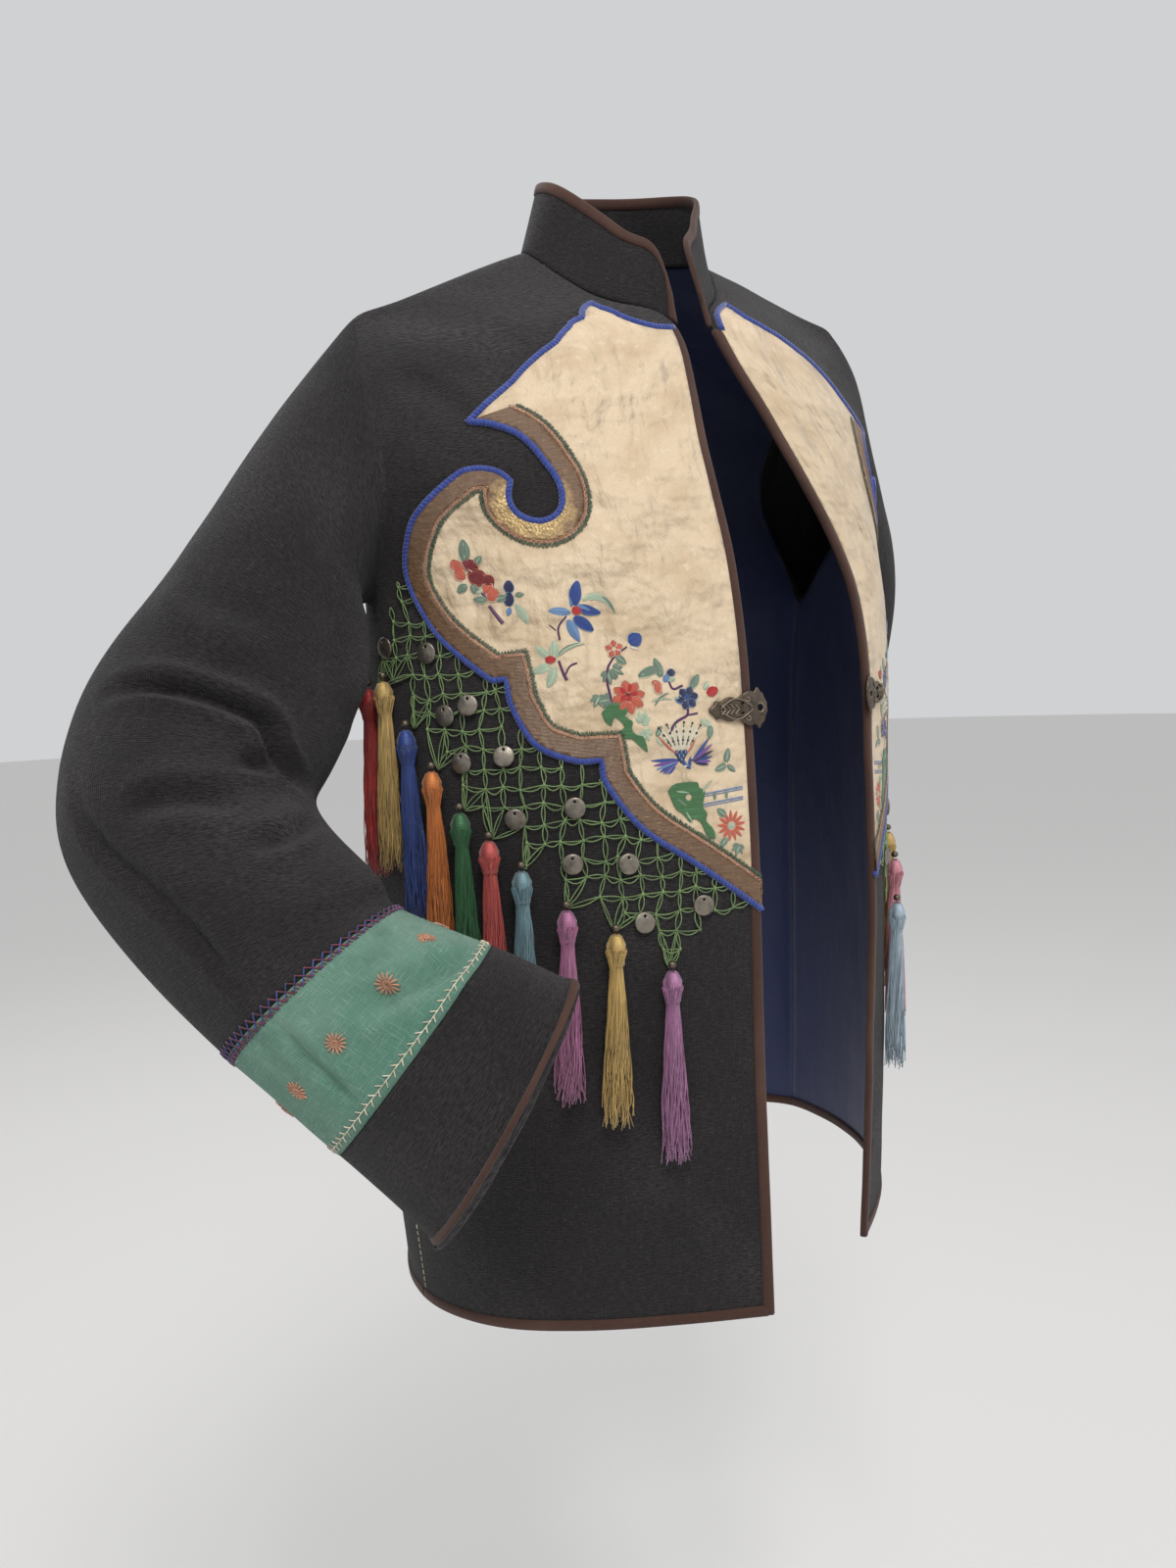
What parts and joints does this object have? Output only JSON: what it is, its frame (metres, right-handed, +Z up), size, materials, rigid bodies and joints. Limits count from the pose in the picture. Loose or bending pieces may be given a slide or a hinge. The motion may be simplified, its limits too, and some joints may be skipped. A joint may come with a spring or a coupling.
{
  "type": "hmong embroidered jacket",
  "caption": "Open-front jacket in worn shape: stand collar, wide sleeves with teal bands, bound edges, and a cream embroidered panel with net and tassels on each front.",
  "frame": {"origin": "at the base of the neck, midway between the shoulders, where the wearer carries the jacket", "axes": "+Z up, -Y the way the wearer faces, -X the wearer's right"},
  "size_m": [0.8392, 0.5082, 0.8387],
  "materials": {
    "charcoal_cloth": "matt warm charcoal plain weave with light slubs",
    "navy_lining": "smooth navy twill",
    "brown_binding": "matt brown bias binding",
    "teal_band": "teal-green open plain weave with embroidered rosettes and stitched edges",
    "cream_satin": "cream satin with a soft shine, embroidered with flowers, a bird and rocks",
    "blue_piping": "round bright blue cord, matt",
    "gold_brown_ribbon": "brown ribbon with crinkled gold foil",
    "green_net": "knotted green silk thread",
    "pewter": "worn brownish pewter, cast openwork",
    "tassel_thread_left_01": "silky twisted thread",
    "tassel_thread_left_02": "silky twisted thread",
    "tassel_thread_left_03": "silky twisted thread",
    "tassel_thread_left_04": "silky twisted thread",
    "tassel_thread_left_05": "silky twisted thread",
    "tassel_thread_left_06": "silky twisted thread",
    "tassel_thread_left_07": "silky twisted thread",
    "tassel_thread_left_08": "silky twisted thread",
    "tassel_thread_left_09": "silky twisted thread",
    "tassel_thread_left_10": "silky twisted thread",
    "tassel_thread_right_01": "silky twisted thread",
    "tassel_thread_right_02": "silky twisted thread",
    "tassel_thread_right_03": "silky twisted thread",
    "tassel_thread_right_04": "silky twisted thread",
    "tassel_thread_right_05": "silky twisted thread",
    "tassel_thread_right_06": "silky twisted thread",
    "tassel_thread_right_07": "silky twisted thread",
    "tassel_thread_right_08": "silky twisted thread",
    "tassel_thread_right_09": "silky twisted thread",
    "tassel_thread_right_10": "silky twisted thread"
  },
  "bodies": {
    "root": {"back": "charcoal_cloth", "binding_collar": "brown_binding", "binding_cuff_left": "brown_binding", "binding_cuff_right": "brown_binding", "binding_front_left": "brown_binding", "binding_front_right": "brown_binding", "binding_hem_back": "brown_binding", "binding_hem_front_left": "brown_binding", "binding_hem_front_right": "brown_binding", "clasp_left": "pewter", "clasp_right": "pewter", "collar": "charcoal_cloth", "cuff_left": "charcoal_cloth", "cuff_right": "charcoal_cloth", "front_left": "charcoal_cloth", "front_right": "charcoal_cloth", "lining_back": "navy_lining", "lining_front_left": "navy_lining", "lining_front_right": "navy_lining", "net_left": "green_net", "net_right": "green_net", "piping_left": "blue_piping", "piping_right": "blue_piping", "ribbon_left": "gold_brown_ribbon", "ribbon_right": "gold_brown_ribbon", "satin_panel_left": "cream_satin", "satin_panel_right": "cream_satin", "sleeve_band_left": "teal_band", "sleeve_band_right": "teal_band", "sleeve_lower_left": "charcoal_cloth", "sleeve_lower_right": "charcoal_cloth", "sleeve_upper_left": "charcoal_cloth", "sleeve_upper_right": "charcoal_cloth", "tassel_left_01": "tassel_thread_left_01", "tassel_left_02": "tassel_thread_left_02", "tassel_left_03": "tassel_thread_left_03", "tassel_left_04": "tassel_thread_left_04", "tassel_left_05": "tassel_thread_left_05", "tassel_left_06": "tassel_thread_left_06", "tassel_left_07": "tassel_thread_left_07", "tassel_left_08": "tassel_thread_left_08", "tassel_left_09": "tassel_thread_left_09", "tassel_left_10": "tassel_thread_left_10", "tassel_right_01": "tassel_thread_right_01", "tassel_right_02": "tassel_thread_right_02", "tassel_right_03": "tassel_thread_right_03", "tassel_right_04": "tassel_thread_right_04", "tassel_right_05": "tassel_thread_right_05", "tassel_right_06": "tassel_thread_right_06", "tassel_right_07": "tassel_thread_right_07", "tassel_right_08": "tassel_thread_right_08", "tassel_right_09": "tassel_thread_right_09", "tassel_right_10": "tassel_thread_right_10"}
  },
  "joints": []
}
